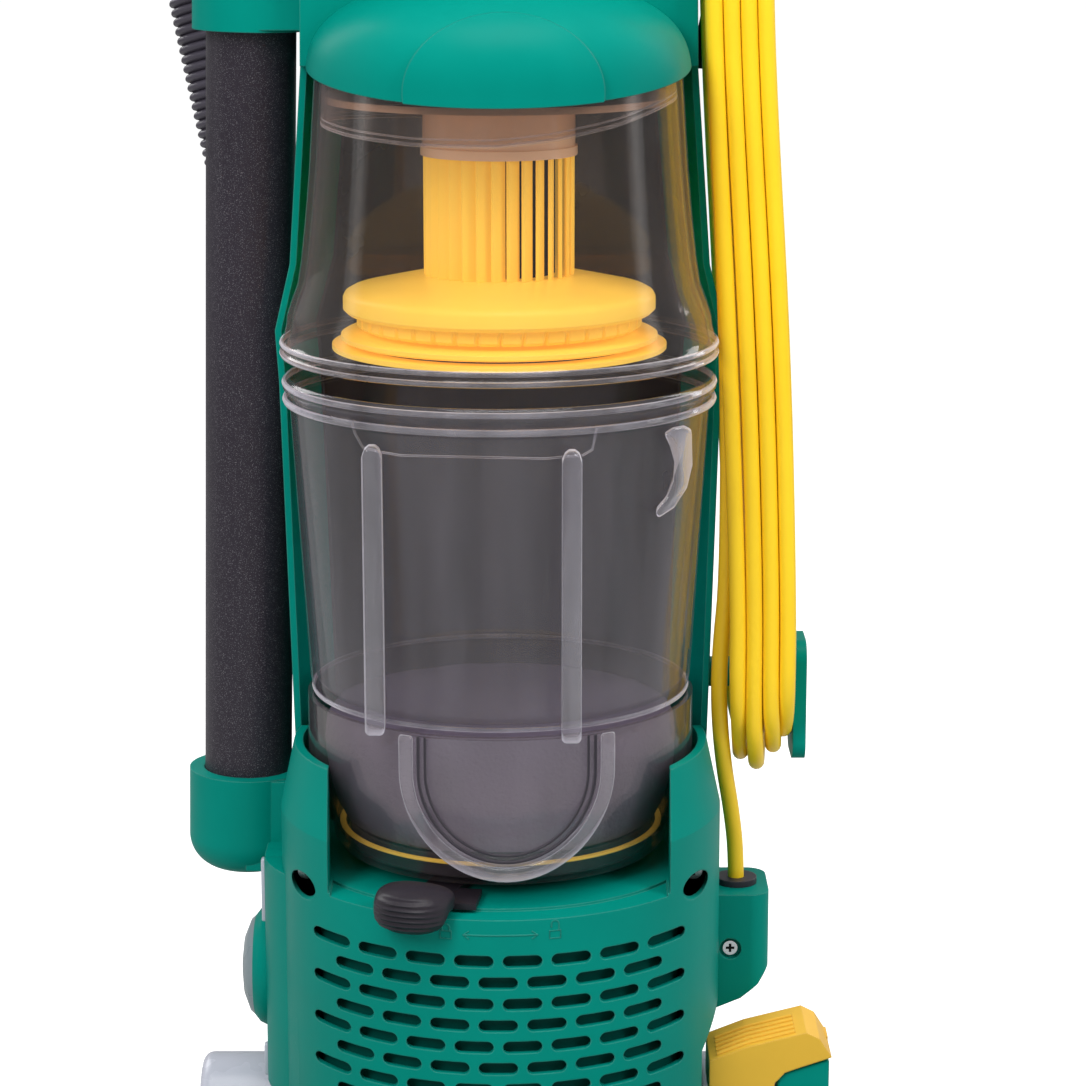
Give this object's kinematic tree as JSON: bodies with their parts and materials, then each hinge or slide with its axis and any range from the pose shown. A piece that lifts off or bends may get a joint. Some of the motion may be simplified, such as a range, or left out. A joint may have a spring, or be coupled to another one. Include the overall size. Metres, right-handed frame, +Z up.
{
  "type": "upright vacuum cleaner",
  "caption": "Bagless commercial upright vacuum cleaner with a clear lift-out dirt cup, washable filter tray, side wand with hose, wrapped power cord and reclining body.",
  "frame": {"origin": "on the floor, under the middle of the machine without its cord and hose", "axes": "-Y towards the front of the nozzle, +X to the right of someone who looks at that front, +Z up"},
  "size_m": [0.36, 0.4373, 1.12],
  "materials": {
    "shell_green": "satin moulded plastic, sea green",
    "base_green": "satin moulded plastic, sea green",
    "trim_grey": "glossy light grey moulding",
    "charcoal": "fine-grained dark plastic",
    "clear_smoke": "clear smoky polycarbonate",
    "cyclone_yellow": "glossy yellow moulding",
    "collar_tan": "smoky tan moulding",
    "pedal_yellow": "satin yellow moulding",
    "cord_yellow": "yellow flexible cord sheath",
    "hose_black": "dark corrugated hose",
    "wheel_grey": "grey moulded wheel",
    "tread": "soft non-marking tread",
    "seal_rubber": "black soft rubber",
    "bristle": "nylon bristle",
    "filter_grey": "open-cell foam and pleated paper",
    "steel": "plated steel",
    "handle_steel": "powder-coated steel tube"
  },
  "bodies": {
    "base": {"base_housing": "base_green", "sole_plate": "charcoal", "front_bumper": "shell_green", "ear_caps": "trim_grey", "pivot_bushes": "charcoal", "floor_duct": "charcoal", "axles_and_pins": "steel", "brush_bearings": "charcoal", "drive_belt": "seal_rubber", "pedal_spring": "steel", "base_screws": "steel"},
    "upright": {"motor_cover": "shell_green", "motor_can": "steel", "motor_gaskets": "seal_rubber", "exhaust_filter": "filter_grey", "rear_housing": "shell_green", "bay_panel": "charcoal", "spine_duct": "charcoal", "dome_cover": "shell_green", "top_housing": "shell_green", "handle_tube": "handle_steel", "handle_grip": "charcoal", "cover_shell": "clear_smoke", "cyclone_disc": "cyclone_yellow", "cyclone_shroud": "cyclone_yellow", "cyclone_collar": "collar_tan", "cyclone_seal": "cyclone_yellow", "lower_wand_holder": "shell_green", "upper_wand_holder": "shell_green", "hose_socket": "charcoal", "strain_relief_housing": "shell_green", "cord_grommet": "charcoal", "cord_lead": "cord_yellow", "cord_hank": "cord_yellow", "cord_plug": "charcoal", "lower_cord_hook": "shell_green", "housing_screws": "steel", "suction_hose": "hose_black"},
    "motor": {"motor_rotor": "steel"},
    "brush": {"brush_roll": "wheel_grey", "brush_bristles": "bristle"},
    "wheel_left": {"rear_wheel_left": "wheel_grey", "tyre_left": "tread"},
    "wheel_right": {"rear_wheel_right": "wheel_grey", "tyre_right": "tread"},
    "carriage": {"roller_carriage": "charcoal"},
    "rollers": {"front_rollers": "wheel_grey"},
    "knob": {"height_knob": "pedal_yellow"},
    "pedal": {"release_pedal": "pedal_yellow"},
    "lift": {"filter_tray": "clear_smoke", "foam_filter": "filter_grey", "filter_frame": "charcoal", "lift_stem": "charcoal"},
    "latch": {"latch_lever": "charcoal"},
    "cup": {"dirt_cup": "clear_smoke"},
    "wand": {"wand_tube": "charcoal", "wand_grip": "charcoal"},
    "cord_hook": {"upper_cord_hook": "shell_green"},
    "switch": {"power_switch": "charcoal"},
    "cleanout_cap": {"duct_cap": "shell_green"}
  },
  "joints": [
    {"name": "upright_recline", "type": "hinge", "parent": "base", "child": "upright", "pos_m": [0, 0.08, 0.066], "axis": [-1, 0, 0], "range_deg": [0, 70]},
    {"name": "motor_spin", "type": "hinge", "parent": "upright", "child": "motor", "pos_m": [0, 0.08, 0.066], "axis": [1, 0, 0], "continuous": true},
    {"name": "brush_spin", "type": "hinge", "parent": "base", "child": "brush", "pos_m": [0, -0.118, 0.027], "axis": [1, 0, 0], "continuous": true},
    {"name": "wheel_left_spin", "type": "hinge", "parent": "base", "child": "wheel_left", "pos_m": [-0.167, 0.122, 0.028], "axis": [1, 0, 0], "continuous": true},
    {"name": "wheel_right_spin", "type": "hinge", "parent": "base", "child": "wheel_right", "pos_m": [0.167, 0.122, 0.028], "axis": [1, 0, 0], "continuous": true},
    {"name": "carriage_height", "type": "slide", "parent": "base", "child": "carriage", "axis": [0, 0, -1], "range_m": [0, 0.01]},
    {"name": "height_knob_turn", "type": "hinge", "parent": "base", "child": "knob", "pos_m": [0, -0.062, 0.06], "axis": [0, 0, 1], "range_deg": [0, 270]},
    {"name": "front_rollers_spin", "type": "hinge", "parent": "carriage", "child": "rollers", "pos_m": [0, -0.062, 0.01], "axis": [1, 0, 0], "continuous": true},
    {"name": "pedal_press", "type": "hinge", "parent": "base", "child": "pedal", "pos_m": [0.149, 0.046, 0.072], "axis": [1, 0, 0], "range_deg": [0, 15], "stiffness_Nm_per_rad": 2, "springref_deg": -5.73, "deforming": ["pedal_spring"]},
    {"name": "tray_lift", "type": "slide", "parent": "upright", "child": "lift", "axis": [0, 0, 1], "range_m": [0, 0.008]},
    {"name": "latch_swing", "type": "hinge", "parent": "upright", "child": "latch", "pos_m": [0, 0.04, 0.2093], "axis": [0, 0, 1], "range_deg": [0, 42]},
    {"name": "cup_pull", "type": "slide", "parent": "lift", "child": "cup", "axis": [0, -1, 0], "range_m": [0, 0.22]},
    {"name": "wand_pull", "type": "slide", "parent": "upright", "child": "wand", "axis": [0.0223, 0, 0.9998], "range_m": [0, 0.12], "deforming": ["suction_hose"]},
    {"name": "cord_hook_turn", "type": "hinge", "parent": "upright", "child": "cord_hook", "pos_m": [0.1, 0.072, 0.655], "axis": [1, 0, 0], "range_deg": [0, 180]},
    {"name": "switch_rock", "type": "hinge", "parent": "upright", "child": "switch", "pos_m": [0, 0.071, 1.004], "axis": [1, 0, 0], "range_deg": [0, 14]},
    {"name": "cleanout_cap_turn", "type": "hinge", "parent": "upright", "child": "cleanout_cap", "pos_m": [-0.11, 0.07, 0.142], "axis": [1, 0, 0], "range_deg": [0, 60]}
  ],
  "couplings": [
    {"joint": "brush_spin", "follows": "motor_spin", "ratio": 0.53846},
    {"joint": "height_knob_turn", "follows": "carriage_height", "rad_per_m": 471},
    {"joint": "latch_swing", "follows": "tray_lift", "rad_per_m": 91.6}
  ]
}
